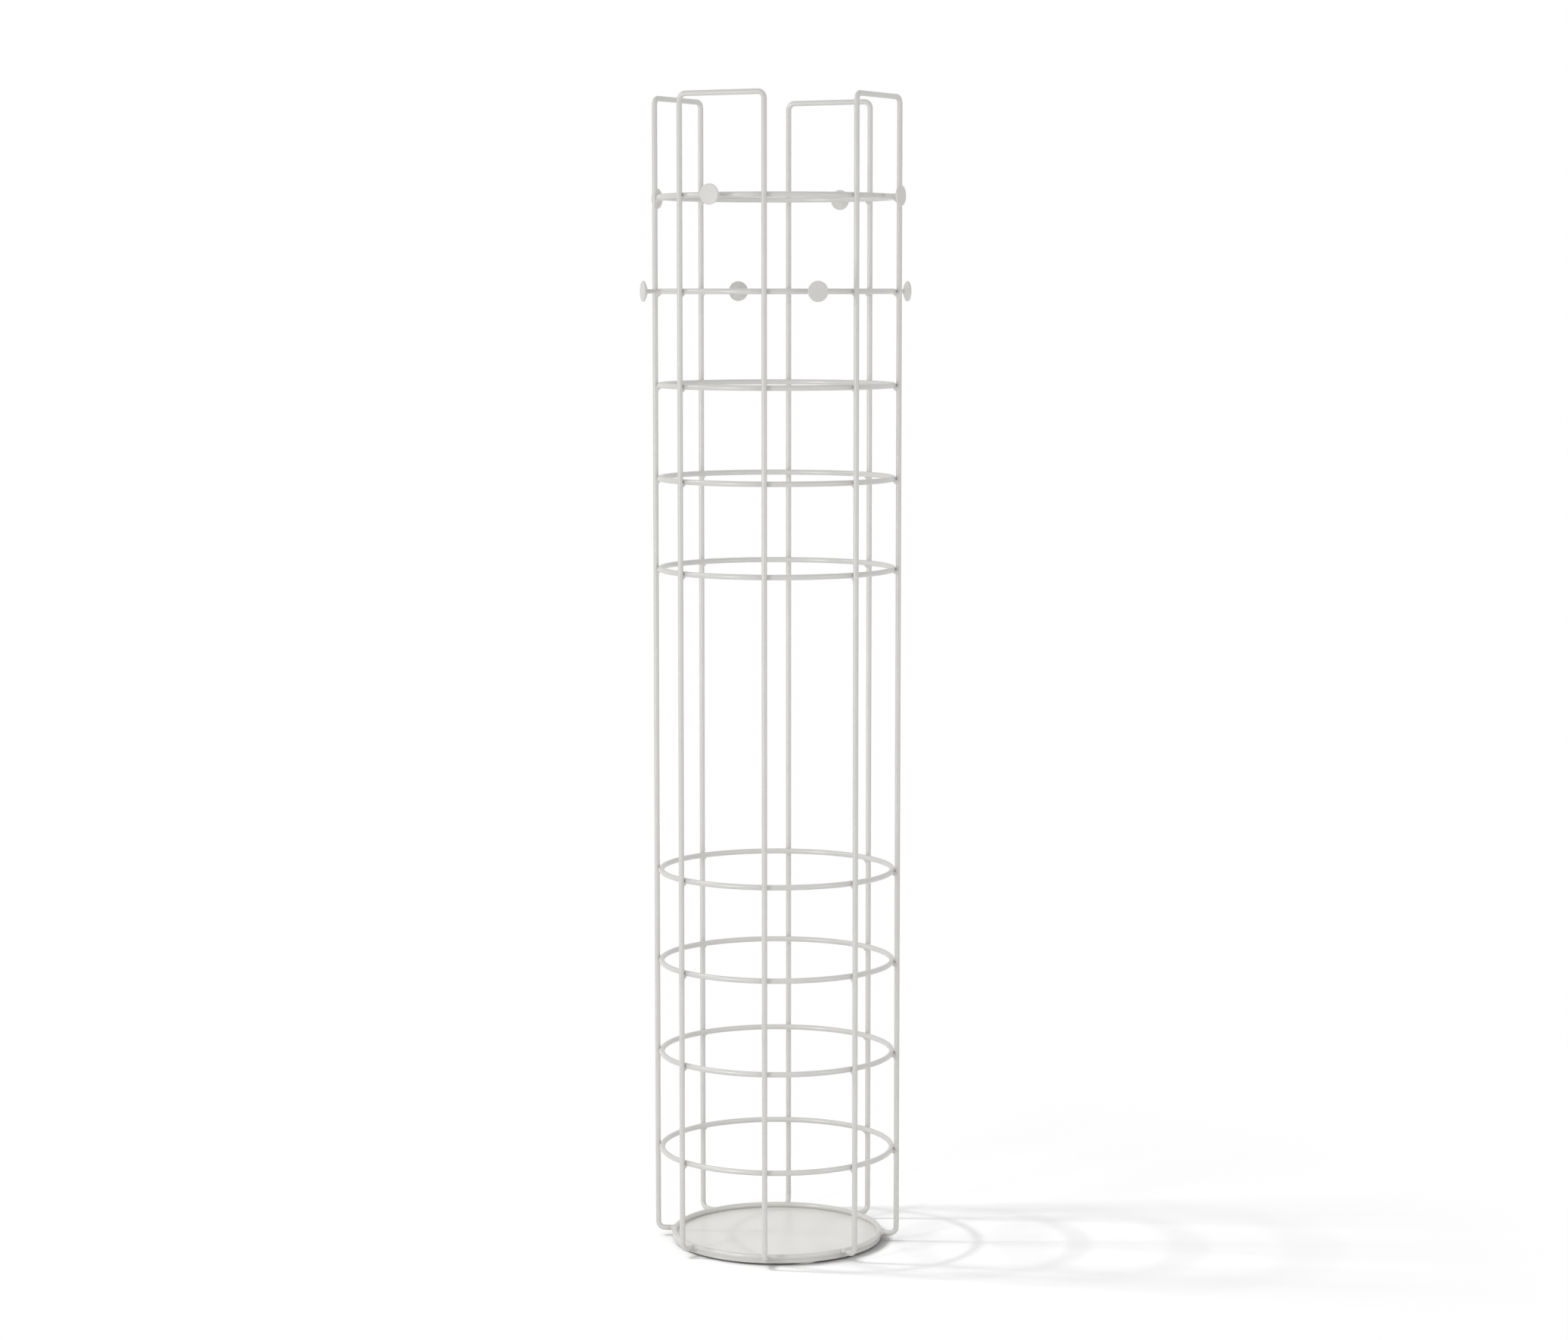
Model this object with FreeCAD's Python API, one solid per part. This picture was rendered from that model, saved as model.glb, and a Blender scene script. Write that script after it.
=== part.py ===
import FreeCAD, Part
import math
import os

# A free-standing coat stand welded from round wire. Four upright hairpin loops stand on a round
# base, nine hoops tie their legs together from inside, and eight mushroom pegs stand out from the
# two highest hoops. Millimetres, +Z up, origin on the floor under the middle of the base.

# Overall sizes
OVERALL_HEIGHT = 1705.0     # floor to the top of the loops
LEG_CIRCLE_R = 180.0        # middle of the stand to the axis of a leg
WIRE_D = 8.0                # one gauge of wire for loops, hoops and base ring

# Upright loops
LOOP_COUNT = 4
BEND_R = 10.0               # radius of the wire's axis at every corner, made on one former
FOOT_REACH = 26.0           # axis of a leg to the axis of the base ring
FOOT_ROOT_GAP = 0.4         # filled by the weld between a foot's cut end and the base ring

# Hoops: the lower cage is set out upwards from the floor, the upper cage down from the top bars
LOWER_HOOP_STEPS = (142.0, 146.0, 138.0, 137.0)
UPPER_HOOP_DROPS = (144.0, 137.0, 137.0, 137.0, 133.5)

# Base
GLIDE_D = 50.0
GLIDE_T = 3.0
GLIDE_EDGE_R = 0.8
GLIDE_INSET = 4.0           # rim of the plate to the rim of a glide
PLATE_T = 5.0
PLATE_EDGE_R = 1.0
PLATE_MARGIN = 2.5          # axis of the base ring to the rim of the plate
SEAL_ROOT = 1.2             # axis of the base ring to the inner edge of the bead under it

# Pegs
PEG_REACH = 32.0            # axis of a hoop to the flat face of a peg head
PEG_HEAD_D = 30.0
PEG_HEAD_T = 7.4            # at the hub
PEG_RIM_T = 2.6             # at the rim
PEG_RIM_R = 1.0             # rounding of the rim's two edges
PEG_HUB_D = 8.5             # where the coned back meets the stem
PEG_STEM_D = 6.0
PEG_SOCKET_DEPTH = 4.4      # how far a stem goes into its head
PEG_SOCKET_CLEARANCE = 0.05
PEG_ROOT_GAP = 0.4          # filled by the weld between a stem's cut end and its hoop

# Welds
HOOP_WELD_DROP = 4.6        # below the hoop, along the leg
HOOP_WELD_W = 5.0
HOOP_WELD_ROOT = 1.0        # how far below the touching point of hoop and leg the fillet starts
FOOT_WELD_RISE = 1.3        # how far the collar stands out round the foot
FOOT_WELD_LENGTH = 4.5
FOOT_WELD_CLEARANCE = 0.1   # rim of the plate to the back of the collar
PEG_WELD_RISE = 1.0         # how far the collar stands out round the stem
PEG_WELD_LENGTH = 3.0
PEG_WELD_WRAP = 2.0         # axis of the hoop to the back of the collar

# Sizes that follow from the ones above
WIRE_R = WIRE_D / 2
HOOP_R = LEG_CIRCLE_R - WIRE_D
BASE_RING_R = LEG_CIRCLE_R - FOOT_REACH
PLATE_R = BASE_RING_R + PLATE_MARGIN
GLIDE_CIRCLE_R = PLATE_R - GLIDE_INSET - GLIDE_D / 2
FOOT_Z = GLIDE_T + PLATE_T + WIRE_R
TOP_BAR_Z = OVERALL_HEIGHT - WIRE_R
LOOP_PITCH = 360.0 / LOOP_COUNT
LEG_PITCH = LOOP_PITCH / 2
FOOT_END_R = BASE_RING_R + WIRE_R + FOOT_ROOT_GAP
STEM_R = PEG_STEM_D / 2
STEM_START_R = HOOP_R + WIRE_R + PEG_ROOT_GAP
PEG_FACE_R = HOOP_R + PEG_REACH
PEG_BACK_R = PEG_FACE_R - PEG_HEAD_T

# Azimuths are in degrees from the front (-Y) towards the right (+X)
LOOP_SIDES = ("front", "right", "back", "left")
GAP_SIDES = ("front_right", "back_right", "back_left", "front_left")

ORIGIN = FreeCAD.Vector(0, 0, 0)
OUTWARD = FreeCAD.Vector(0, -1, 0)      # away from the middle, at the front
UP = FreeCAD.Vector(0, 0, 1)
SIDEWAYS = FreeCAD.Vector(1, 0, 0)

parts = {}


def polar(radius, azimuth, z=0.0):
    # point at a distance from the middle, in the direction of an azimuth
    turn = math.radians(azimuth)
    return FreeCAD.Vector(radius * math.sin(turn), -radius * math.cos(turn), z)


def placed(shape, azimuth, z=0.0):
    # copy of a shape made at the front, turned to an azimuth and lifted
    copy = shape.copy()
    copy.rotate(ORIGIN, UP, azimuth)
    copy.translate(UP * z)
    return copy


def ring_of(shape, azimuths, z):
    # group of separate copies round the stand at one height
    return Part.makeCompound([placed(shape, azimuth, z) for azimuth in azimuths])


def rounded_path(points, corner_radii):
    # straight edges through the points, with a tangent arc at each inner point that has a radius
    edges = []
    start = points[0]
    for before, corner, after, radius in zip(points, points[1:], points[2:], corner_radii):
        if radius == 0:
            edges.append(Part.LineSegment(start, corner).toShape())
            start = corner
            continue
        back = (before - corner).normalize()
        ahead = (after - corner).normalize()
        half_angle = back.getAngle(ahead) / 2
        setback = radius / math.tan(half_angle)
        arc_start = corner + back * setback
        arc_end = corner + ahead * setback
        to_middle = (back + ahead).normalize() * (radius / math.sin(half_angle) - radius)
        edges.append(Part.LineSegment(start, arc_start).toShape())
        edges.append(Part.Arc(arc_start, corner + to_middle, arc_end).toShape())
        start = arc_end
    edges.append(Part.LineSegment(start, points[-1]).toShape())
    return edges


def turned(axis, profile, corner_radii):
    # solid turned about an axis, from (distance along it, radius) points that start and end on it
    across = OUTWARD if axis == UP else UP
    points = [axis * along + across * radius for along, radius in profile]
    edges = rounded_path(points, corner_radii)
    edges.append(Part.LineSegment(points[-1], points[0]).toShape())
    return Part.Face(Part.Wire(edges)).revolve(ORIGIN, axis, 360)


def disc(radius, thickness, lower_edge_r, upper_edge_r):
    # flat round disc standing on z = 0, with its two rims rounded
    profile = [(0, 0), (0, radius), (thickness, radius), (thickness, 0)]
    return turned(UP, profile, [lower_edge_r, upper_edge_r])


def base_ring():
    # hoop of wire with its axis at z = 0, and under its outer side the bead that seals it to the plate:
    # the bead's face leaves the wire along a tangent and ends flush with the rim of the plate
    def section_point(outward, z):
        return OUTWARD * (BASE_RING_R + outward) + UP * z

    tangent = 2 * math.atan(PLATE_MARGIN / WIRE_R)
    crown = section_point(WIRE_R * math.sin(tangent), -WIRE_R * math.cos(tangent))
    root = section_point(SEAL_ROOT, -math.sqrt(WIRE_R ** 2 - SEAL_ROOT ** 2))
    floor = section_point(SEAL_ROOT, -WIRE_R)
    rim = section_point(PLATE_MARGIN, -WIRE_R)
    edges = [
        Part.Arc(crown, section_point(-WIRE_R, 0), root).toShape(),
        Part.LineSegment(root, floor).toShape(),
        Part.LineSegment(floor, rim).toShape(),
        Part.LineSegment(rim, crown).toShape(),
    ]
    return Part.Face(Part.Wire(edges)).revolve(ORIGIN, UP, 360)


def upright_loop(azimuth):
    # foot run, leg, top bar, leg and foot run of one loop, as one bent wire
    first = azimuth - LEG_PITCH / 2
    second = azimuth + LEG_PITCH / 2
    points = [
        polar(FOOT_END_R, first, FOOT_Z),
        polar(LEG_CIRCLE_R, first, FOOT_Z),
        polar(LEG_CIRCLE_R, first, TOP_BAR_Z),
        polar(LEG_CIRCLE_R, second, TOP_BAR_Z),
        polar(LEG_CIRCLE_R, second, FOOT_Z),
        polar(FOOT_END_R, second, FOOT_Z),
    ]
    corners = len(points) - 2
    axis = Part.Wire(rounded_path(points, [BEND_R] * corners))
    section = Part.Circle(points[0], points[1] - points[0], WIRE_R).toShape()
    return axis.makePipe(Part.Face(Part.Wire(section)))


def hoop_weld():
    # sloping fillet under a hoop against the inner side of a leg
    leg_face_r = LEG_CIRCLE_R - WIRE_R
    low = -(WIRE_R + HOOP_WELD_DROP)
    slope = HOOP_WELD_DROP + HOOP_WELD_ROOT
    profile = [
        (HOOP_R, -HOOP_WELD_ROOT),
        (LEG_CIRCLE_R, -HOOP_WELD_ROOT),
        (LEG_CIRCLE_R, low - WIRE_R),
        (leg_face_r - slope, low + slope),
    ]
    corner = SIDEWAYS * (-HOOP_WELD_W / 2)
    points = [corner + OUTWARD * radius + UP * z for radius, z in profile]
    wedge = Part.Face(Part.makePolygon(points + points[:1])).extrude(SIDEWAYS * HOOP_WELD_W)
    leg = Part.makeCylinder(WIRE_R, WIRE_R - 2 * low, polar(LEG_CIRCLE_R, 0, 2 * low))
    return wedge.cut(Part.makeTorus(HOOP_R, WIRE_R)).cut(leg)


def weld_collar(ring, ring_r, wrap, rod_start_r, rod_r, rise, length):
    # bead round a rod that butts against the outside of a ring, bedded on both of them
    ring_face_r = ring_r + WIRE_R
    crest_r = rod_r + rise
    profile = [
        (ring_r + wrap, 0),
        (ring_r + wrap, rod_r),
        (ring_face_r, crest_r),
        (ring_face_r + length, rod_r),
        (ring_face_r + length, 0),
    ]
    bead = turned(OUTWARD, profile, [0, rise, 0])
    rod = Part.makeCylinder(rod_r, length + WIRE_R, OUTWARD * rod_start_r, OUTWARD)
    return bead.cut(ring).cut(rod)


def peg_head():
    # flat-faced disc with a rounded rim and a coned back, bored for the end of its stem
    profile = [
        (PEG_FACE_R, 0),
        (PEG_FACE_R, PEG_HEAD_D / 2),
        (PEG_FACE_R - PEG_RIM_T, PEG_HEAD_D / 2),
        (PEG_BACK_R, PEG_HUB_D / 2),
        (PEG_BACK_R, 0),
    ]
    blank = turned(OUTWARD, profile, [PEG_RIM_R, PEG_RIM_R, 0])
    socket_r = STEM_R + PEG_SOCKET_CLEARANCE
    return blank.cut(Part.makeCylinder(socket_r, PEG_SOCKET_DEPTH, OUTWARD * PEG_BACK_R, OUTWARD))


def peg_stem():
    # plain rod from just outside the hoop to the bottom of the head's socket
    length = PEG_BACK_R + PEG_SOCKET_DEPTH - STEM_START_R
    return Part.makeCylinder(STEM_R, length, OUTWARD * STEM_START_R, OUTWARD)


def running_heights(start, steps):
    # heights reached one step after another
    heights = []
    for step in steps:
        start += step
        heights.append(start)
    return heights


# Base: glides, plate and ring
glide = disc(GLIDE_D / 2, GLIDE_T, GLIDE_EDGE_R, 0)
glide.translate(OUTWARD * GLIDE_CIRCLE_R)
for index, side in enumerate(GAP_SIDES):
    parts["glide_" + side] = placed(glide, LOOP_PITCH * (index + 0.5))
parts["base_plate"] = placed(disc(PLATE_R, PLATE_T, PLATE_EDGE_R, 0), 0, GLIDE_T)
sealed_ring = base_ring()
parts["base_ring"] = placed(sealed_ring, 0, FOOT_Z)

# Upright loops, and the collars that weld their feet to the base ring
leg_azimuths = [LEG_PITCH * (index + 0.5) for index in range(2 * LOOP_COUNT)]
for index, side in enumerate(LOOP_SIDES):
    parts["upright_loop_" + side] = upright_loop(LOOP_PITCH * index)
foot_wrap = PLATE_MARGIN + FOOT_WELD_CLEARANCE
foot_collar = weld_collar(sealed_ring, BASE_RING_R, foot_wrap, FOOT_END_R, WIRE_R, FOOT_WELD_RISE,
                          FOOT_WELD_LENGTH)
parts["foot_welds"] = ring_of(foot_collar, leg_azimuths, FOOT_Z)

# Hoops, with the fillets that weld them to the legs
lower_heights = running_heights(0.0, LOWER_HOOP_STEPS)
upper_heights = running_heights(TOP_BAR_Z, [-drop for drop in UPPER_HOOP_DROPS])
upper_heights.reverse()
hoop = Part.makeTorus(HOOP_R, WIRE_R)
hoop_fillet = hoop_weld()
for cage, heights in (("lower", lower_heights), ("upper", upper_heights)):
    for number, z in enumerate(heights, 1):
        name = cage + "_hoop_" + str(number)
        parts[name] = placed(hoop, 0, z)
        parts[name + "_welds"] = ring_of(hoop_fillet, leg_azimuths, z)

# Pegs: the high row inside the loops on the top hoop, the low row between the loops one hoop down
head = peg_head()
stem = peg_stem()
stem_collar = weld_collar(hoop, HOOP_R, PEG_WELD_WRAP, STEM_START_R, STEM_R, PEG_WELD_RISE, PEG_WELD_LENGTH)
peg_rows = (
    ("high", LOOP_SIDES, 0.0, upper_heights[-1]),
    ("low", GAP_SIDES, LOOP_PITCH / 2, upper_heights[-2]),
)
for row, sides, first_azimuth, z in peg_rows:
    azimuths = [first_azimuth + LOOP_PITCH * index for index in range(LOOP_COUNT)]
    for side, azimuth in zip(sides, azimuths):
        parts[row + "_peg_head_" + side] = placed(head, azimuth, z)
        parts[row + "_peg_stem_" + side] = placed(stem, azimuth, z)
    parts[row + "_peg_welds"] = ring_of(stem_collar, azimuths, z)

os.makedirs("parts", exist_ok=True)
for name, shape in parts.items():
    shape.exportStep("parts/" + name + ".step")
print(len(parts), "nodes written")
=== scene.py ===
import bpy
import math
import numpy as np
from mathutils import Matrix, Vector


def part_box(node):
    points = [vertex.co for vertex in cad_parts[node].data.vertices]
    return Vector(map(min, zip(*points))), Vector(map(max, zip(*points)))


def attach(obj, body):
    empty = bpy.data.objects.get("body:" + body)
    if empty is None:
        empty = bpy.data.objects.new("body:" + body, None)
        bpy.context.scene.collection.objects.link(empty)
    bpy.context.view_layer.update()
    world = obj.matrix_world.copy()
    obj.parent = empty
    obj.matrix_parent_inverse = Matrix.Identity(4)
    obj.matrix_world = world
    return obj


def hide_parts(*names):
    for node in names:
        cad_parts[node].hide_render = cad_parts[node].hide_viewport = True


# Coat stand welded from round wire: four hairpin loops on a round base, nine hoops, eight mushroom pegs.
# Metres, +Z up, front is -Y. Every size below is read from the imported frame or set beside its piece.

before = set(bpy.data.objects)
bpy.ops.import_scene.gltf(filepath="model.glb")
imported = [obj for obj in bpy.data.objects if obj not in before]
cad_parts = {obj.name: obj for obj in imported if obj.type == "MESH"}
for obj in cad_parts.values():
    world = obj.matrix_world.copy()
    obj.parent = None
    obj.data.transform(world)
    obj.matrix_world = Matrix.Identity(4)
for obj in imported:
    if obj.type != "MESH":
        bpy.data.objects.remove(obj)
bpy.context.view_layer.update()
print("frame loaded:", len(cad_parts), "nodes")

loopSides = ("front", "right", "back", "left")
gapSides = ("front_right", "back_right", "back_left", "front_left")
hoopNames = ["lower_hoop_%d" % n for n in range(1, 5)] + ["upper_hoop_%d" % n for n in range(1, 6)]
loopPitch = 360.0 / len(loopSides)
legPitch = loopPitch / 2
legAzimuths = [legPitch * (k + 0.5) for k in range(2 * len(loopSides))]
upright = np.array([0.0, 0.0, 1.0])
toMm = 1000.0
beadChance = np.random.default_rng(41)      # one seeded source for every uneven weld


# Measuring the frame

def nodeBox(node):
    # corners to a tenth of a millimetre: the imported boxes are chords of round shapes
    low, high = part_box(node)
    return np.round(low, 4), np.round(high, 4)


def midHeight(node):
    low, high = nodeBox(node)
    return (low[2] + high[2]) / 2


hoopLow, hoopHigh = nodeBox("lower_hoop_1")
ringLow, ringHigh = nodeBox("base_ring")
loopLow, loopHigh = nodeBox("upright_loop_front")
wireR = (hoopHigh[2] - hoopLow[2]) / 2
hoopR = hoopHigh[0] - wireR
ringR = ringHigh[0] - wireR
legR = round((-loopLow[1] - wireR) / math.cos(math.radians(legPitch / 2)), 4)
footZ = midHeight("base_ring")
topBarZ = loopHigh[2] - wireR
print("wire %.1f mm, hoops on %.1f, legs on %.1f" % (2 * wireR * toMm, hoopR * toMm, legR * toMm))


# Surfaces from arrays

def unit(vector):
    return vector / np.linalg.norm(vector)


def polar(radius, azimuth, z):
    # point at a radius from the middle; azimuth is in degrees from the front toward +X
    turn = math.radians(azimuth)
    return np.array([radius * math.sin(turn), -radius * math.cos(turn), z])


def ringAngles(count):
    # equal steps round a circle
    return np.linspace(0, 2 * np.pi, count, endpoint=False)


def turnAbout(vector, axis, angles):
    # v turned about k: v cos a + (k x v) sin a + k (k.v)(1 - cos a), one row for each angle
    cosA = np.cos(angles)[:, None]
    sinA = np.sin(angles)[:, None]
    return vector * cosA + np.cross(axis, vector) * sinA + axis * np.dot(axis, vector) * (1 - cosA)


def softCorners(points, radii, steps):
    # polyline whose inner corners are swapped for tangent arcs: the centre is on the bisector at
    # r / sin(half angle), and the arc's points are the slerp between the radii that meet the straight runs
    line = [points[:1]]
    for before, corner, after, radius in zip(points, points[1:], points[2:], radii):
        if radius == 0:
            line.append(corner[None])
            continue
        back = unit(before - corner)
        ahead = unit(after - corner)
        half = np.arccos(np.clip(np.dot(back, ahead), -1, 1)) / 2
        centre = corner + unit(back + ahead) * radius / np.sin(half)
        first = unit(corner + back * radius / np.tan(half) - centre)
        last = unit(corner + ahead * radius / np.tan(half) - centre)
        sweep = np.pi - 2 * half
        share = np.linspace(0, 1, steps + 1)[:, None]
        arc = np.sin((1 - share) * sweep) * first + np.sin(share * sweep) * last
        line.append(centre + radius * arc / np.sin(sweep))
    line.append(points[-1:])
    return np.concatenate(line)


def spreadLine(points, longest):
    # the same polyline with each long run divided into equal steps
    runs = [points[:1]]
    for start, end in zip(points, points[1:]):
        count = max(1, int(np.ceil(np.linalg.norm(end - start) / longest)))
        runs.append(start + (end - start) * np.linspace(0, 1, count + 1)[1:, None])
    return np.concatenate(runs)


def gridShell(grid, poles=None, loops=False):
    # closed skin over rings of points: quads between neighbours, and either a fan from each end ring to its
    # pole or a last row of quads back to the first ring; turned inside out if its signed volume is negative
    rows, around = grid.shape[:2]
    verts = grid.reshape(-1, 3)
    nextRow = np.arange(rows) if loops else np.arange(rows - 1)
    i, j = np.meshgrid(nextRow, np.arange(around), indexing="ij")
    up = (i + 1) % rows
    right = (j + 1) % around
    corners = [i * around + j, i * around + right, up * around + right, up * around + j]
    quads = np.stack(corners, -1).reshape(-1, 4)
    tris = np.zeros((0, 3), int)
    if not loops:
        verts = np.concatenate([verts, poles])
        j = np.arange(around)
        right = (j + 1) % around
        first = np.stack([np.full(around, rows * around), right, j], -1)
        lastRow = (rows - 1) * around
        last = np.stack([np.full(around, rows * around + 1), lastRow + j, lastRow + right], -1)
        tris = np.concatenate([first, last])
    split = np.concatenate([quads[:, [0, 1, 2]], quads[:, [0, 2, 3]], tris])
    a, b, c = (verts[split[:, k]] for k in range(3))
    if np.einsum("ij,ij->i", a, np.cross(b, c)).sum() < 0:
        quads = quads[:, ::-1]
        tris = tris[:, ::-1]
    return verts, quads, tris


def latheShell(profile, centre, axis, sides):
    # profile of (along the axis, radius) carried round the axis: centre + axis a + r (e1 cos t + e2 sin t);
    # its first and last points lie on the axis and become the poles
    across = np.cross(axis, upright)
    side = unit(across) if across.any() else np.array([1.0, 0.0, 0.0])
    other = np.cross(axis, side)
    angles = ringAngles(sides)
    spoke = side * np.cos(angles)[:, None] + other * np.sin(angles)[:, None]
    along = profile[1:-1, 0][:, None, None]
    radius = profile[1:-1, 1][:, None, None]
    grid = centre + axis * along + spoke * radius
    poles = centre + axis * profile[[0, -1], 0][:, None]
    return gridShell(grid, poles)


def hoopShell(radius, z, wire, segments, sides):
    # torus: (R + w cos v) round the middle, z + w sin v
    u = ringAngles(segments)[:, None]
    v = ringAngles(sides)[None, :]
    reach = radius + wire * np.cos(v)
    grid = np.stack([reach * np.sin(u), -reach * np.cos(u), z + wire * np.sin(v) + 0 * u], -1)
    return gridShell(grid, loops=True)


def bentWireShell(corners, bend, wire, sides, bendSteps, runStep):
    # circle of wire radius carried along straight runs joined by tangent arcs; its frame turns with each
    angles = ringAngles(sides)
    heading = unit(corners[1] - corners[0])
    side = unit(np.cross(heading, upright))
    place = corners[0]
    rings = []

    def addRings(centres, sideRows, headingRows):
        otherRows = np.cross(headingRows, sideRows)
        offset = sideRows[:, None] * np.cos(angles)[:, None] + otherRows[:, None] * np.sin(angles)[:, None]
        rings.append(centres[:, None] + wire * offset)

    for k in range(1, len(corners)):
        lastRun = k == len(corners) - 1
        ahead = heading if lastRun else unit(corners[k + 1] - corners[k])
        turn = np.arccos(np.clip(np.dot(heading, ahead), -1, 1))
        runEnd = corners[k] - heading * bend * np.tan(turn / 2)
        count = max(1, int(np.ceil(np.linalg.norm(runEnd - place) / runStep)))
        share = np.linspace(0, 1, count + 1)[1 if rings else 0:, None]
        addRings(place + (runEnd - place) * share, np.repeat(side[None], len(share), 0),
                 np.repeat(heading[None], len(share), 0))
        place = runEnd
        if lastRun:
            continue
        axis = unit(np.cross(heading, ahead))
        centre = runEnd + bend * np.cross(axis, heading)
        sweep = np.linspace(0, turn, bendSteps + 1)[1:]
        arc = centre + turnAbout(runEnd - centre, axis, sweep)
        sideRows = turnAbout(side, axis, sweep)
        addRings(arc, sideRows, turnAbout(heading, axis, sweep))
        place = arc[-1]
        side = sideRows[-1]
        heading = ahead
    return gridShell(np.concatenate(rings), np.array([corners[0], corners[-1]]))


def makePiece(name, shells, finish, slot, *nodes):
    # joins closed shells into one smooth mesh that rides on the stand and stands for its CAD nodes
    shift = np.cumsum([0] + [len(shell[0]) for shell in shells])
    verts = np.concatenate([shell[0] for shell in shells])
    quads = np.concatenate([shell[1] + start for shell, start in zip(shells, shift)])
    tris = np.concatenate([shell[2] + start for shell, start in zip(shells, shift)])
    mesh = bpy.data.meshes.new(name)
    mesh.from_pydata(verts.tolist(), [], quads.tolist() + tris.tolist())
    mesh.polygons.foreach_set("use_smooth", np.ones(len(mesh.polygons), bool))
    mesh.update()
    mesh.materials.append(finish)
    piece = bpy.data.objects.new(name, mesh)
    bpy.context.scene.collection.objects.link(piece)
    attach(piece, "root")
    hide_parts(*nodes)


# Finishes

def nodeMaterial(name):
    material = bpy.data.materials.new(name)
    material.use_nodes = True
    tree = material.node_tree
    shader = tree.nodes["Principled BSDF"]
    place = tree.nodes.new("ShaderNodeTexCoord").outputs["Object"]
    return material, tree, shader, place


noiseLow = 0.3      # nearly all of a cloud noise lies between these two
noiseHigh = 0.7


def noiseOf(tree, place, scale, detail, roughness=0.5):
    # cloud noise with so many cells to the metre
    noise = tree.nodes.new("ShaderNodeTexNoise")
    noise.inputs["Scale"].default_value = scale
    noise.inputs["Detail"].default_value = detail
    noise.inputs["Roughness"].default_value = roughness
    tree.links.new(place, noise.inputs["Vector"])
    return noise.outputs["Fac"]


def spread(tree, value, low, high):
    # noise stretched to run from low to high
    span = tree.nodes.new("ShaderNodeMapRange")
    span.inputs["From Min"].default_value = noiseLow
    span.inputs["From Max"].default_value = noiseHigh
    span.inputs["To Min"].default_value = low
    span.inputs["To Max"].default_value = high
    tree.links.new(value, span.inputs["Value"])
    return span.outputs["Result"]


def twoTone(tree, factor, first, second):
    mix = tree.nodes.new("ShaderNodeMix")
    mix.data_type = "RGBA"
    mix.inputs["A"].default_value = (*first, 1)
    mix.inputs["B"].default_value = (*second, 1)
    tree.links.new(factor, mix.inputs["Factor"])
    return mix.outputs["Result"]


def bumpOf(tree, height, strength, distance, under=None):
    bump = tree.nodes.new("ShaderNodeBump")
    bump.inputs["Strength"].default_value = strength
    bump.inputs["Distance"].default_value = distance
    tree.links.new(height, bump.inputs["Height"])
    if under is not None:
        tree.links.new(under, bump.inputs["Normal"])
    return bump.outputs["Normal"]


def rimTone(tree, place, film, look):
    # the wires' own colour beyond a distance from the stand's axis, where the painted light of the plate's
    # top ends
    flat = tree.nodes.new("ShaderNodeVectorMath")
    flat.operation = "MULTIPLY"
    flat.inputs[1].default_value = (1, 1, 0)
    tree.links.new(place, flat.inputs[0])
    reach = tree.nodes.new("ShaderNodeVectorMath")
    reach.operation = "LENGTH"
    tree.links.new(flat.outputs["Vector"], reach.inputs[0])
    share = tree.nodes.new("ShaderNodeMapRange")
    share.inputs["From Min"].default_value = look["rimFrom"]
    share.inputs["From Max"].default_value = look["rimTo"]
    tree.links.new(reach.outputs["Value"], share.inputs["Value"])
    mix = tree.nodes.new("ShaderNodeMix")
    mix.data_type = "RGBA"
    mix.inputs["B"].default_value = (*look["rim"], 1)
    tree.links.new(share.outputs["Result"], mix.inputs["Factor"])
    tree.links.new(film, mix.inputs["A"])
    return mix.outputs["Result"]


def powderCoat(name, look):
    # satin powder coat: cloudy film thickness, orange peel over fine grain, uneven gloss
    material, tree, shader, place = nodeMaterial(name)
    cloud = spread(tree, noiseOf(tree, place, look["cloudScale"], look["cloudDetail"]), 0, 1)
    film = twoTone(tree, cloud, look["thin"], look["full"])
    # on the plate, the painted light of its top stops at the ring
    if "rim" in look:
        film = rimTone(tree, place, film, look)
    tree.links.new(film, shader.inputs["Base Color"])
    gloss = noiseOf(tree, place, look["glossScale"], look["glossDetail"])
    tree.links.new(spread(tree, gloss, look["roughLow"], look["roughHigh"]), shader.inputs["Roughness"])
    peel = noiseOf(tree, place, look["peelScale"], look["peelDetail"])
    peelBump = bumpOf(tree, peel, look["peelDepth"], look["peelHeight"])
    grain = noiseOf(tree, place, look["grainScale"], look["grainDetail"])
    grainBump = bumpOf(tree, grain, look["grainDepth"], look["grainHeight"], peelBump)
    tree.links.new(grainBump, shader.inputs["Normal"])
    shader.inputs["IOR"].default_value = look["ior"]
    return material


def padMatt(name, look):
    # matt moulded pad: dull speckle and a fine leathery bump
    material, tree, shader, place = nodeMaterial(name)
    speckle = noiseOf(tree, place, look["speckleScale"], look["speckleDetail"], look["speckleRough"])
    tone = twoTone(tree, spread(tree, speckle, 0, 1), look["dark"], look["light"])
    tree.links.new(tone, shader.inputs["Base Color"])
    leather = noiseOf(tree, place, look["bumpScale"], look["bumpDetail"])
    tree.links.new(bumpOf(tree, leather, look["bumpDepth"], look["bumpHeight"]), shader.inputs["Normal"])
    shader.inputs["Roughness"].default_value = look["rough"]
    return material


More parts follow.
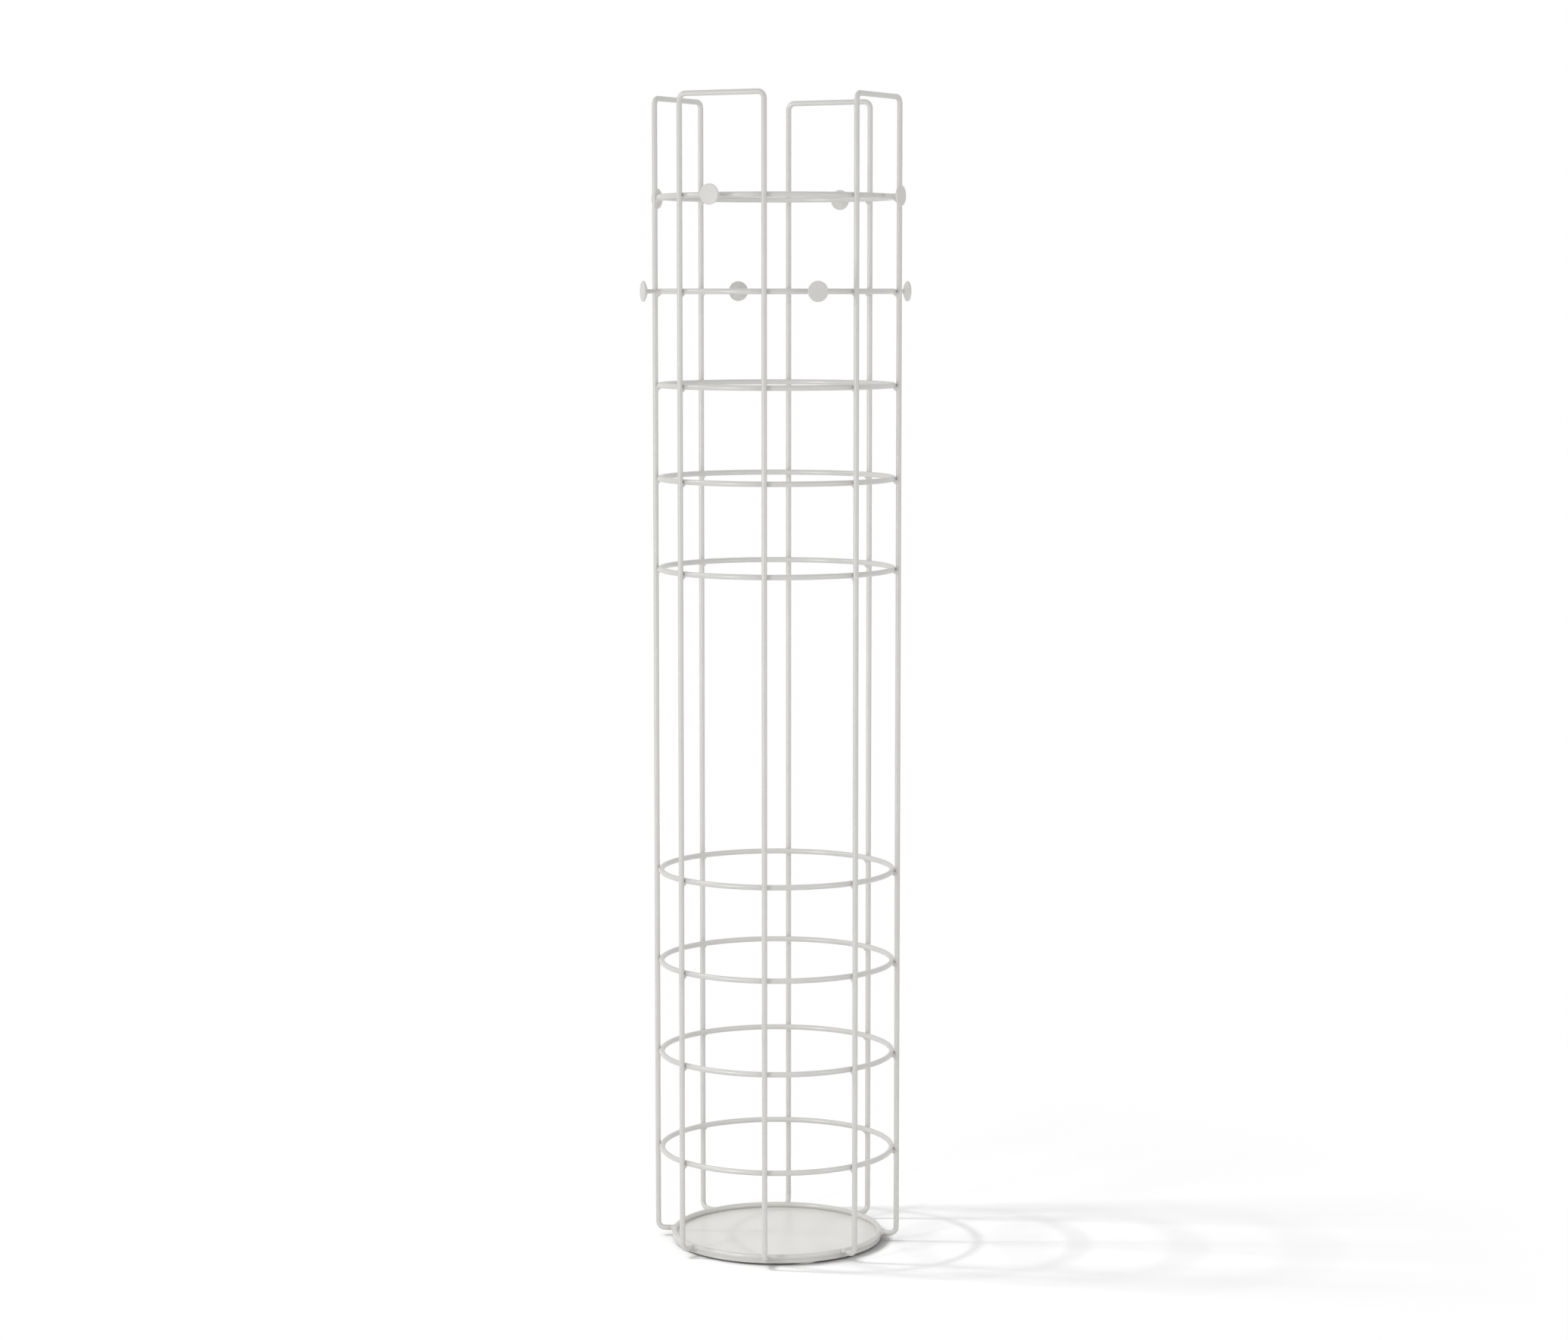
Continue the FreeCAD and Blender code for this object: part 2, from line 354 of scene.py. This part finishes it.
coatLook = {
    "thin": (0.592, 0.584, 0.557),      # linear, where the film is thinnest
    "full": (0.617, 0.610, 0.584),
    "cloudScale": 22.0,
    "cloudDetail": 3,
    "glossScale": 90.0,
    "glossDetail": 4,
    "roughLow": 0.29,
    "roughHigh": 0.34,
    "peelScale": 420.0,                 # bumps of about 2.4 mm
    "peelDetail": 1,
    "peelDepth": 0.04,
    "peelHeight": 0.0003,
    "grainScale": 1900.0,
    "grainDetail": 2,
    "grainDepth": 0.03,
    "grainHeight": 0.0001,
    "ior": 1.75,
}
padLook = {
    "dark": (0.66, 0.65, 0.62),
    "light": (0.76, 0.75, 0.72),
    "speckleScale": 700.0,
    "speckleDetail": 4,
    "speckleRough": 0.7,
    "bumpScale": 1300.0,
    "bumpDetail": 3,
    "bumpDepth": 0.4,
    "bumpHeight": 0.0002,
    "rough": 0.75,
}
wireCoat = powderCoat("wireCoat", coatLook)
plateLook = {
    **coatLook,
    "thin": (0.748, 0.738, 0.705),      # painted light: lighter than the same powder coat on the wires, as the plate's top faces the light from above
    "full": (0.771, 0.763, 0.732),
    "rim": (0.588, 0.580, 0.553),       # outside the ring, the wires' colour, without the painted light of the top
    "rimFrom": 0.1545,
    "rimTo": 0.1555,
}
plateCoat = powderCoat("plateCoat", plateLook)
pegLook = {
    **coatLook,
    "thin": (0.632, 0.622, 0.592),
    "full": (0.654, 0.645, 0.617),
    "roughLow": 0.32,
    "roughHigh": 0.40,
    "ior": 1.5,
}
pegCoat = powderCoat("pegCoat", pegLook)
glidePad = padMatt("glidePad", padLook)
print("finishes made")


# Base: plate, ring and glides

plate = {
    "margin": 0.0025,       # axis of the ring to the upright part of the rim
    "lipTop": 0.0018,       # below the ring's widest line, where the lip leaves the ring
    "lipFoot": 0.0052,      # below it, where the lip has become the upright rim
    "lipDepth": 0.0016,     # of the lip's inner edge, hidden in the ring
    "lipSteps": 10,
    "edgeR": 0.0010,
    "edgeSteps": 6,
    "sides": 320,
    "ringStep": 0.008,
}
baseRing = {"segments": 320, "sides": 32}
glide = {"edgeR": 0.0008, "topEdgeR": 0.0004, "edgeSteps": 4, "sides": 64, "ringStep": 0.005}


def glideProfile(radius, low, high):
    # half section of a flat pad, from the top of its axis round both rounded rims to the bottom
    corners = np.array([[high, 0], [high, radius], [low, radius], [low, 0]])
    line = softCorners(corners, [glide["topEdgeR"], glide["edgeR"]], glide["edgeSteps"])
    return spreadLine(line, glide["ringStep"])


def plateProfile(low):
    # half section of the plate, from the top of its axis: flat as far as the ring, up inside the ring
    # to the lip, down a quadratic curve that leaves the ring along its tangent and ends upright, and
    # round the edge to the bottom
    rimR = ringR + plate["margin"]
    flat = footZ - wireR
    dip = math.asin(plate["lipTop"] / wireR)
    lip = np.array([footZ - plate["lipTop"], ringR + wireR * math.cos(dip)])
    foot = np.array([footZ - plate["lipFoot"], rimR])
    bend = np.array([lip[0] - (lip[1] - rimR) / math.tan(dip), rimR])
    share = np.linspace(0, 1, plate["lipSteps"] + 1)[:, None]
    cove = (1 - share) ** 2 * lip + 2 * share * (1 - share) * bend + share ** 2 * foot
    top = np.array([[flat, 0], [flat, ringR], [lip[0], lip[1] - plate["lipDepth"]]])
    rim = softCorners(np.array([foot, [low, rimR], [low, 0]]), [plate["edgeR"]], plate["edgeSteps"])
    return spreadLine(np.concatenate([top, cove, rim[1:]]), plate["ringStep"])


def makeBase():
    plateLow = nodeBox("base_plate")[0]
    disc = latheShell(plateProfile(plateLow[2]), np.zeros(3), upright, plate["sides"])
    makePiece("base_plate_disc", [disc], plateCoat, "plate_coat", "base_plate")
    ring = hoopShell(ringR, footZ, wireR, baseRing["segments"], baseRing["sides"])
    makePiece("base_ring_wire", [ring], wireCoat, "wire_coat", "base_ring")
    for side in gapSides:
        low, high = nodeBox("glide_" + side)
        middle = np.array([(low[0] + high[0]) / 2, (low[1] + high[1]) / 2, 0])
        profile = glideProfile((high[0] - low[0]) / 2, low[2], high[2])
        pad = latheShell(profile, middle, upright, glide["sides"])
        makePiece("glide_%s_pad" % side, [pad], glidePad, "glide_pad", "glide_" + side)


makeBase()
print("base made")


# Upright loops

uprightLoop = {"bendR": 0.010, "rootGap": 0.0004, "sides": 32, "bendSteps": 12, "runStep": 0.030}


def makeLoops():
    footEnd = ringR + wireR + uprightLoop["rootGap"]
    for k, side in enumerate(loopSides):
        first = loopPitch * k - legPitch / 2
        second = loopPitch * k + legPitch / 2
        corners = np.array([
            polar(footEnd, first, footZ),
            polar(legR, first, footZ),
            polar(legR, first, topBarZ),
            polar(legR, second, topBarZ),
            polar(legR, second, footZ),
            polar(footEnd, second, footZ),
        ])
        shell = bentWireShell(corners, uprightLoop["bendR"], wireR, uprightLoop["sides"],
                              uprightLoop["bendSteps"], uprightLoop["runStep"])
        makePiece("upright_loop_%s_wire" % side, [shell], wireCoat, "wire_coat", "upright_loop_" + side)


makeLoops()
print("loops made")


# Hoops and the fillets that weld them to the legs

hoop = {"segments": 256, "sides": 28}
fillet = {
    "drop": 0.0045,         # below the hoop, along the leg
    "width": 0.0080,        # along the hoop
    "root": 0.0010,         # below the touching point of hoop and leg
    "rootReach": 0.0036,    # from the hoop's axis to the line that the ends taper to
    "rootDepth": 0.0008,    # of that line below the root
    "bury": 0.0012,         # into the leg
    "toe": 0.0027,          # inward from the hoop's axis
    "toeBury": 0.0003,      # into the hoop
    "crown": 0.0004,        # how far the sloping face bulges
    "crownR": 0.0040,
    "cornerR": 0.0006,
    "cornerSteps": 4,
    "sectionStep": 0.0012,
    "lean": 0.0004,         # of the middle along the hoop, at most
    "steps": 20,
    "unevenness": 0.27,     # of the size and of the width, at most
}


def filletShell(azimuth, z):
    # wedge section in the corner under the hoop, shrunk towards its root by sqrt(1 - t^2) as t runs
    # along the hoop; its outer side stays in the leg, whose round is w - sqrt(w^2 - s^2) away at s from
    # its middle
    size = 1 + fillet["unevenness"] * beadChance.uniform(-1, 1)
    half = fillet["width"] / 2 * (1 + fillet["unevenness"] * beadChance.uniform(-1, 1))
    half = min(half, wireR)
    lean = fillet["lean"] * beadChance.uniform(-1, 1)
    top = -fillet["root"]
    inHoop = wireR / 2
    inLeg = wireR + fillet["bury"]
    inward = fillet["toe"] * size
    toe = np.array([-inward, -math.sqrt(wireR ** 2 - inward ** 2) + fillet["toeBury"]])
    foot = np.array([inLeg, -(wireR + fillet["drop"] * size + fillet["bury"])])
    bulge = (toe + foot) / 2 - np.full(2, fillet["crown"] / math.sqrt(2))
    start = np.array([(inLeg + inHoop) / 2, top])
    corners = np.array([start, [inHoop, top], toe, bulge, foot, [inLeg, top], start])
    radii = [fillet[r] for r in ("cornerR", "cornerR", "crownR", "cornerR", "cornerR")]
    section = softCorners(corners, radii, fillet["cornerSteps"])[:-1]
    section = spreadLine(section, fillet["sectionStep"])
    root = np.array([fillet["rootReach"], top - fillet["rootDepth"]])
    share = np.sin(np.linspace(-np.pi / 2, np.pi / 2, fillet["steps"] + 1))[1:-1]
    rings = root + (section - root) * np.sqrt(1 - share ** 2)[:, None, None]
    retreat = wireR - np.sqrt(wireR ** 2 - (share * half) ** 2)
    legSide = np.clip((section[:, 0] - root[0]) / (inLeg - root[0]), 0, 1)
    reach = hoopR + rings[:, :, 0] + retreat[:, None] * legSide
    outward = polar(1, azimuth, 0)
    along = polar(1, azimuth + 90, 0)
    aside = share * half + lean * (1 - share ** 2)
    grid = outward * reach[:, :, None] + along * aside[:, None, None]
    grid = grid + upright * (z + rings[:, :, 1])[:, :, None]
    endReach = hoopR + root[0] + (wireR - math.sqrt(wireR ** 2 - half ** 2)) / 2
    ends = [outward * endReach + along * end + upright * (z + root[1]) for end in (-half, half)]
    return gridShell(grid, np.array(ends))


def makeHoops():
    for name in hoopNames:
        z = midHeight(name)
        ring = hoopShell(hoopR, z, wireR, hoop["segments"], hoop["sides"])
        makePiece(name + "_wire", [ring], wireCoat, "wire_coat", name)
        beads = [filletShell(azimuth, z) for azimuth in legAzimuths]
        makePiece(name + "_fillets", beads, wireCoat, "wire_coat", name + "_welds")


makeHoops()
print("hoops made")


# Collars that weld a rod's end to the outside of a ring

def collarShell(ring, azimuth, z, rodR, look):
    # saddle bead where a rod meets a ring: at each angle round the rod, a quadratic curve from its toe on
    # the ring, past the corner line of the two surfaces, to its toe on the rod; both toes run on under
    # the surface
    angles = ringAngles(look["sides"])
    phase = beadChance.uniform(0, 2 * np.pi, 2)
    swell = np.sin(look["swells"] * angles + phase[0])
    ripple = look["rippleShare"] * np.sin(look["ripples"] * angles + phase[1])
    uneven = 1 + look["unevenness"] * (swell + ripple)
    leg = look["leg"] * uneven
    length = look["length"] * uneven

    def onRing(spreadR, depth):
        # point of the ring's skin, or of a skin so far below it, at a distance from the rod's axis
        height = np.clip(spreadR * np.sin(angles) / wireR, -look["climb"], look["climb"])
        aside = spreadR * np.cos(angles)
        reach = ring + (wireR - depth) * np.sqrt(1 - height ** 2)
        return np.stack([np.sqrt(reach ** 2 - aside ** 2), aside, (wireR - depth) * height], -1)

    def onRod(radius, reach):
        # circle round the rod's axis, so far from the middle of the stand
        return np.stack([reach, radius * np.cos(angles), radius * np.sin(angles)], -1)

    corner = onRing(rodR, 0)
    toe = onRing(rodR + leg, 0)
    rodToe = onRod(rodR, ring + wireR + length)
    bend = corner + look["fullness"] / 2 * (toe + rodToe - 2 * corner)
    share = np.linspace(0, 1, look["steps"])[:, None, None]
    skin = (1 - share) ** 2 * toe + 2 * share * (1 - share) * bend + share ** 2 * rodToe
    under = onRing(rodR + leg, look["bury"])
    inside = onRod(rodR - look["bury"], ring + wireR + length)
    rows = np.concatenate([under[None], skin, inside[None]])
    axes = np.stack([polar(1, azimuth, 0), polar(1, azimuth + 90, 0), upright])
    poles = np.array([[ring, 0, 0], [ring + wireR + look["length"], 0, 0]])
    return gridShell(rows @ axes + z * upright, poles @ axes + z * upright)


footCollar = {
    "leg": 0.0017,          # along the ring, from the corner line
    "length": 0.0030,       # along the foot, from the ring's face
    "fullness": 0.75,       # 0 is a hollow fillet, 1 a flat one
    "climb": 0.985,         # of the ring's half height
    "bury": 0.0006,         # of both toes
    "steps": 10,
    "sides": 56,
    "unevenness": 0.10,
    "swells": 2,            # round the rod
    "ripples": 5,
    "rippleShare": 0.6,     # of the height of a swell
}
pegCollar = {**footCollar, "leg": 0.0012, "length": 0.0022, "steps": 8, "sides": 40}


def makeFootCollars():
    collars = [collarShell(ringR, azimuth, footZ, wireR, footCollar) for azimuth in legAzimuths]
    makePiece("foot_collars", collars, wireCoat, "wire_coat", "foot_welds")


makeFootCollars()
print("foot collars made")


# Pegs

peg = {
    "rimT": 0.0026,
    "rimR": 0.0010,         # rounding of the rim's two edges
    "hubR": 0.00425,        # where the coned back meets the stem
    "hubEdgeR": 0.0005,
    "bulge": 0.0003,        # of the coned back, half way out
    "dome": 0.00015,        # crown of the face
    "steps": 6,
    "sides": 96,
    "ringStep": 0.0015,
}
stem = {"sides": 32, "edgeR": 0.0003, "edgeSteps": 3, "ringStep": 0.006}


def headProfile(headR, face, back):
    # half section from the middle of the face round the rim and down the full cone to the hub; the face
    # falls by dome (r / R)^2 from its middle, and the rest moves back by the whole dome
    rimBack = face - peg["rimT"]
    mid = [(rimBack + back) / 2 - peg["bulge"], (headR + peg["hubR"]) / 2]
    corners = np.array([[face, 0], [face, headR], [rimBack, headR], mid, [back, peg["hubR"]], [back, 0]])
    radii = [peg["rimR"], peg["rimR"], headR, peg["hubEdgeR"]]
    line = spreadLine(softCorners(corners, radii, peg["steps"]), peg["ringStep"])
    onFace = np.isclose(line[:, 0], face)
    fall = np.where(onFace, (line[:, 1] / headR) ** 2, 1)
    line[:, 0] = line[:, 0] - peg["dome"] * fall
    return line


def stemProfile(stemR, start, end):
    # half section of a rod with softened ends, from one end of its axis to the other
    corners = np.array([[start, 0], [start, stemR], [end, stemR], [end, 0]])
    line = softCorners(corners, [stem["edgeR"], stem["edgeR"]], stem["edgeSteps"])
    return spreadLine(line, stem["ringStep"])


def makePegs():
    # the front peg gives the sizes, and -Y is outward there
    headLow, headHigh = nodeBox("high_peg_head_front")
    stemLow, stemHigh = nodeBox("high_peg_stem_front")
    stemR = round((stemHigh[0] - stemLow[0]) / 2, 4)
    head = headProfile((headHigh[2] - headLow[2]) / 2, -headLow[1], -headHigh[1])
    rod = stemProfile(stemR, -stemHigh[1], -stemLow[1])
    for row, sides, turn in (("high", loopSides, 0.0), ("low", gapSides, loopPitch / 2)):
        collars = []
        for k, side in enumerate(sides):
            headNode = "%s_peg_head_%s" % (row, side)
            stemNode = "%s_peg_stem_%s" % (row, side)
            azimuth = turn + loopPitch * k
            outward = polar(1, azimuth, 0)
            z = midHeight(headNode)
            headShell = latheShell(head, z * upright, outward, peg["sides"])
            makePiece(headNode + "_turned", [headShell], pegCoat, "peg_coat", headNode)
            rodShell = latheShell(rod, z * upright, outward, stem["sides"])
            makePiece(stemNode + "_rod", [rodShell], pegCoat, "peg_coat", stemNode)
            collars.append(collarShell(hoopR, azimuth, z, stemR, pegCollar))
        makePiece(row + "_peg_collars", collars, wireCoat, "wire_coat", row + "_peg_welds")


makePegs()
print("pegs made")


# Floor, light and camera

view = {
    "azimuth": 28.216,      # degrees from the front toward +X
    "distance": 5.3442,     # from the middle of the stand
    "height": 1.4260,
    "pan": 0.00199,         # radians to the right of the middle
    "tilt": 6.0327,         # degrees downward
    "focal": 4787.8,        # pixels, in an image 2072 wide
    "imageWidth": 2072,
    "sensor": 36.0,
    "clipEnd": 60.0,
}
viewRight = polar(1, view["azimuth"] + 90, 0)
viewNear = polar(1, view["azimuth"], 0)


def makeCamera():
    data = bpy.data.cameras.new("standCamera")
    data.sensor_width = view["sensor"]
    data.lens = view["focal"] / view["imageWidth"] * view["sensor"]
    data.clip_end = view["clipEnd"]
    camera = bpy.data.objects.new("standCamera", data)
    camera.location = viewNear * view["distance"] + upright * view["height"]
    level = -viewNear * math.cos(view["pan"]) + viewRight * math.sin(view["pan"])
    tilt = math.radians(view["tilt"])
    aim = level * math.cos(tilt) - upright * math.sin(tilt)
    camera.rotation_euler = Vector(aim).to_track_quat("-Z", "Y").to_euler()
    bpy.context.scene.collection.objects.link(camera)
    bpy.context.scene.camera = camera


floor = {
    "radius": 14.0,
    "sides": 96,
    "colour": (0.80, 0.80, 0.80),   # as it lights the stand
    "seen": (0.94, 0.94, 0.94),     # as the camera and reflections see it, white where every lamp reaches
    "fadeFrom": 0.60,               # shadows thin out to plain white between these two radii
    "fadeTo": 1.25,
    "contact": (0.34, 0.34, 0.34),  # painted shadow colour, as seen where the base shuts off the key lamp's side of it
    "contactReach": 0.020,
    "contactRise": 0.25,            # of that side's middle, for each unit toward the lamp
    "contactSamples": 8,
}


def shownRays(tree):
    # 1 for camera, glossy and transmission rays
    path = tree.nodes.new("ShaderNodeLightPath")
    shown = path.outputs["Is Camera Ray"]
    for kind in ("Is Glossy Ray", "Is Transmission Ray"):
        larger = tree.nodes.new("ShaderNodeMath")
        larger.operation = "MAXIMUM"
        tree.links.new(shown, larger.inputs[0])
        tree.links.new(path.outputs[kind], larger.inputs[1])
        shown = larger.outputs[0]
    return shown


def paintedContactShadow(tree):
    # painted shadow: the floor's colour is made darker where the base, close by, shuts off the side toward
    # the key lamp, as an occlusion test finds it; (1 - cos tilt) / 2 of that side lies under the floor and
    # is always clear
    toKey = unit(upright * floor["contactRise"] - viewRight)
    aim = tree.nodes.new("ShaderNodeCombineXYZ")
    for socket, part in zip(aim.inputs, toKey):
        socket.default_value = part
    clear = tree.nodes.new("ShaderNodeAmbientOcclusion")
    clear.samples = floor["contactSamples"]
    clear.inputs["Distance"].default_value = floor["contactReach"]
    tree.links.new(aim.outputs["Vector"], clear.inputs["Normal"])
    share = tree.nodes.new("ShaderNodeMapRange")
    share.inputs["From Min"].default_value = (1 - toKey[2]) / 2
    tree.links.new(clear.outputs["AO"], share.inputs["Value"])
    return twoTone(tree, share.outputs["Result"], floor["contact"], floor["seen"])


def makeFloor():
    # flat disc, paler towards its rim, where it is as white as the world
    material = bpy.data.materials.new("paleFloor")
    material.use_nodes = True
    tree = material.node_tree
    tree.nodes.clear()
    near = tree.nodes.new("ShaderNodeBsdfDiffuse")
    # painted shadow beside the base, mixed into the colour the floor is seen with
    tree.links.new(paintedContactShadow(tree), near.inputs["Color"])
    white = tree.nodes.new("ShaderNodeEmission")
    other = tree.nodes.new("ShaderNodeBsdfDiffuse")
    other.inputs["Color"].default_value = (*floor["colour"], 1)
    place = tree.nodes.new("ShaderNodeTexCoord")
    reach = tree.nodes.new("ShaderNodeVectorMath")
    reach.operation = "LENGTH"
    tree.links.new(place.outputs["Object"], reach.inputs[0])
    fade = tree.nodes.new("ShaderNodeMapRange")
    fade.interpolation_type = "SMOOTHSTEP"
    fade.inputs["From Min"].default_value = floor["fadeFrom"]
    fade.inputs["From Max"].default_value = floor["fadeTo"]
    tree.links.new(reach.outputs["Value"], fade.inputs["Value"])
    seen = tree.nodes.new("ShaderNodeMixShader")
    tree.links.new(fade.outputs["Result"], seen.inputs[0])
    tree.links.new(near.outputs[0], seen.inputs[1])
    tree.links.new(white.outputs[0], seen.inputs[2])
    pick = tree.nodes.new("ShaderNodeMixShader")
    tree.links.new(shownRays(tree), pick.inputs[0])
    tree.links.new(other.outputs[0], pick.inputs[1])
    tree.links.new(seen.outputs[0], pick.inputs[2])
    output = tree.nodes.new("ShaderNodeOutputMaterial")
    tree.links.new(pick.outputs[0], output.inputs["Surface"])
    angles = ringAngles(floor["sides"])
    rim = np.stack([np.cos(angles), np.sin(angles), 0 * angles], -1) * floor["radius"]
    mesh = bpy.data.meshes.new("paleFloor")
    mesh.from_pydata(rim.tolist(), [], [list(range(floor["sides"]))])
    mesh.materials.append(material)
    disc = bpy.data.objects.new("paleFloor", mesh)
    bpy.context.scene.collection.objects.link(disc)
    return disc


keyLamp = {
    "right": -2.0,          # of the stand, as the camera sees it
    "near": -0.15,          # toward the camera
    "height": 2.5,
    "aim": 0.6,             # height of the point on the stand's axis that it faces
    "wide": 0.30,
    "tall": 0.20,
    "level": 0.15,
}
floorKey = {**keyLamp, "level": 0.23}       # falls on the floor alone, for crisp shadows of the wires there
leftSoft = {
    "right": -1.8,
    "near": 1.8,
    "height": 1.05,
    "aim": 0.95,
    "wide": 0.45,
    "tall": 1.4,
    "level": 0.28,
}
rightSoft = {**leftSoft, "right": 1.85, "near": 1.7, "level": 0.10}
ambient = {"level": 0.70, "colour": (1.0, 1.0, 1.0)}


def makeLamp(name, look):
    # area lamp that keeps its strength at any distance; level is the light it lays on a surface facing it,
    # where 1 shows a colour as it is written
    data = bpy.data.lights.new(name, "AREA")
    data.shape = "RECTANGLE"
    data.size = look["wide"]
    data.size_y = look["tall"]
    data.energy = math.pi ** 2 * look["level"]
    data.use_nodes = True
    tree = data.node_tree
    falloff = tree.nodes.new("ShaderNodeLightFalloff")
    falloff.inputs["Strength"].default_value = 1
    tree.links.new(falloff.outputs["Constant"], tree.nodes["Emission"].inputs["Strength"])
    lamp = bpy.data.objects.new(name, data)
    place = viewRight * look["right"] + viewNear * look["near"] + upright * look["height"]
    lamp.location = place
    lamp.rotation_euler = Vector(upright * look["aim"] - place).to_track_quat("-Z", "Y").to_euler()
    bpy.context.scene.collection.objects.link(lamp)
    return lamp


def makeLight(disc):
    makeLamp("keyLamp", keyLamp)
    floorOnly = bpy.data.collections.new("floorOnly")
    floorOnly.objects.link(disc)
    makeLamp("floorKey", floorKey).light_linking.receiver_collection = floorOnly
    makeLamp("leftSoft", leftSoft)
    makeLamp("rightSoft", rightSoft)
    world = bpy.data.worlds.new("whiteRoom")
    bpy.context.scene.world = world
    world.use_nodes = True
    tree = world.node_tree
    sky = tree.nodes["Background"]
    sky.inputs["Color"].default_value = (*ambient["colour"], 1)
    strength = tree.nodes.new("ShaderNodeMapRange")
    strength.inputs["To Min"].default_value = ambient["level"]
    strength.inputs["To Max"].default_value = 1
    tree.links.new(shownRays(tree), strength.inputs["Value"])
    tree.links.new(strength.outputs["Result"], sky.inputs["Strength"])


makeCamera()
makeLight(makeFloor())
bpy.context.scene.view_settings.view_transform = "Standard"
print("stage set")
